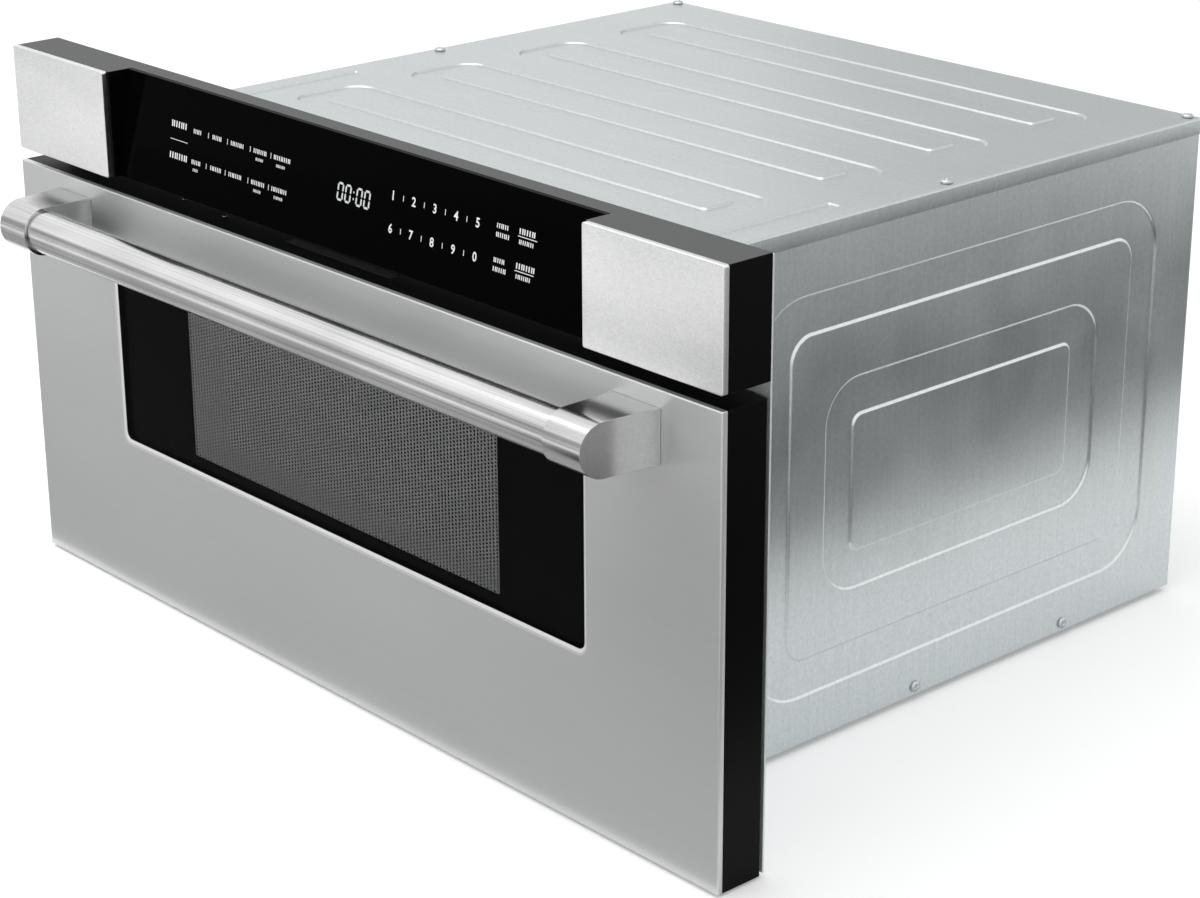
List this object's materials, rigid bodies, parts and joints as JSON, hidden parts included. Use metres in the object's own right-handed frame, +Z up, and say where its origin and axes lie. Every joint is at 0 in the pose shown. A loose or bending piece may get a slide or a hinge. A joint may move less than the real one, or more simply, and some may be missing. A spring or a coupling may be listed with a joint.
{
  "type": "microwave drawer",
  "caption": "Built-in microwave drawer: stainless front with window and bar handle sliding out of a sheet metal cabinet, below a tilted glass control fascia.",
  "frame": {"origin": "middle of the bounding box in plan, at the height of the surface the cabinet's feet stand on", "axes": "+X to the right seen from the front, +Y from the front to the back, +Z up"},
  "size_m": [0.759, 0.6428, 0.4035],
  "materials": {
    "galvanised": "galvanised sheet, fine spangle, satin",
    "screws": "zinc plated, satin",
    "cavity_paint": "smooth grey oven enamel, semi-gloss",
    "mica_sheet": "matt",
    "inner_aluminium": "plain",
    "inner_steel": "plain zinc plated",
    "white_plastic": "matt",
    "grey_plastic": "matt",
    "copper_winding": "lacquered",
    "circuit_board": "solder mask",
    "black_trim": "matt",
    "black_body": "satin black",
    "brushed_stainless": "fine brushed along the width",
    "cap_stainless": "bright, fine brushed along the width",
    "markings": "white print",
    "handle_stainless": "bright brushed",
    "control_glass": "black backed touch glass with white markings",
    "window_glass": "black bordered glass",
    "screen_steel": "black, perforated",
    "glass_ceramic": "opaque, smooth"
  },
  "bodies": {
    "cabinet": {"base_pan": "galvanised", "side_panel_left": "galvanised", "side_panel_right": "galvanised", "top_cover": "galvanised", "back_panel": "galvanised", "front_frame": "galvanised", "top_screw_1": "screws", "top_screw_2": "screws", "top_screw_3": "screws", "top_screw_4": "screws", "side_screw_1": "screws", "side_screw_2": "screws", "side_screw_3": "screws", "side_screw_4": "screws", "oven_cavity": "cavity_paint", "stirrer_cover": "mica_sheet", "stirrer_motor": "inner_steel", "cavity_lamp": "white_plastic", "waveguide": "inner_steel", "magnetron": "inner_aluminium", "transformer_core": "inner_steel", "transformer_winding": "copper_winding", "hv_capacitor": "inner_aluminium", "fan_housing": "grey_plastic", "fan_motor": "inner_steel", "power_board": "circuit_board", "interlock_switch_left": "grey_plastic", "interlock_switch_right": "grey_plastic", "fixed_rail_left": "inner_steel", "fixed_rail_right": "inner_steel", "drive_motor": "inner_aluminium", "cord_gland": "black_trim", "fascia_body": "black_body", "fascia_cap_left": "cap_stainless", "fascia_cap_right": "cap_stainless", "control_glass": "control_glass", "control_board": "circuit_board", "display_module": "black_trim"},
    "drawer": {"door_skin": "brushed_stainless", "door_frame": "black_body", "window_glass": "window_glass", "mesh_screen": "screen_steel", "door_liner": "cavity_paint", "choke_cover": "grey_plastic", "latch_hook_left": "white_plastic", "latch_hook_right": "white_plastic", "handle_bar": "handle_stainless", "handle_post_left": "handle_stainless", "handle_post_right": "handle_stainless", "drawer_tub": "cavity_paint", "ceramic_tray": "glass_ceramic", "inner_rail_left": "inner_steel", "inner_rail_right": "inner_steel", "drive_rack": "white_plastic"},
    "middle_left": {"middle_rail_left": "inner_steel"},
    "middle_right": {"middle_rail_right": "inner_steel"},
    "pinion": {"drive_pinion": "white_plastic"},
    "fan": {"fan_rotor": "grey_plastic"},
    "stirrer_unit": {"stirrer": "inner_aluminium"}
  },
  "joints": [
    {"name": "drawer_slide", "type": "slide", "parent": "cabinet", "child": "drawer", "axis": [0, -1, 0], "range_m": [0, 0.381]},
    {"name": "middle_left_slide", "type": "slide", "parent": "cabinet", "child": "middle_left", "axis": [0, -1, 0], "range_m": [0, 0.1905]},
    {"name": "middle_right_slide", "type": "slide", "parent": "cabinet", "child": "middle_right", "axis": [0, -1, 0], "range_m": [0, 0.1905]},
    {"name": "pinion_spin", "type": "hinge", "parent": "cabinet", "child": "pinion", "pos_m": [0, -0.18465, 0.046], "axis": [1, 0, 0], "range_deg": [0, 1617.1]},
    {"name": "fan_spin", "type": "hinge", "parent": "cabinet", "child": "fan", "pos_m": [0.15, 0.29523, 0.25], "axis": [0, 1, 0], "continuous": true},
    {"name": "stirrer_spin", "type": "hinge", "parent": "cabinet", "child": "stirrer_unit", "pos_m": [0, -0.00965, 0.289], "axis": [0, 0, 1], "continuous": true}
  ],
  "couplings": [
    {"joint": "middle_left_slide", "follows": "drawer_slide", "ratio": 0.5},
    {"joint": "middle_right_slide", "follows": "drawer_slide", "ratio": 0.5},
    {"joint": "pinion_spin", "follows": "drawer_slide", "rad_per_m": 74.074}
  ]
}
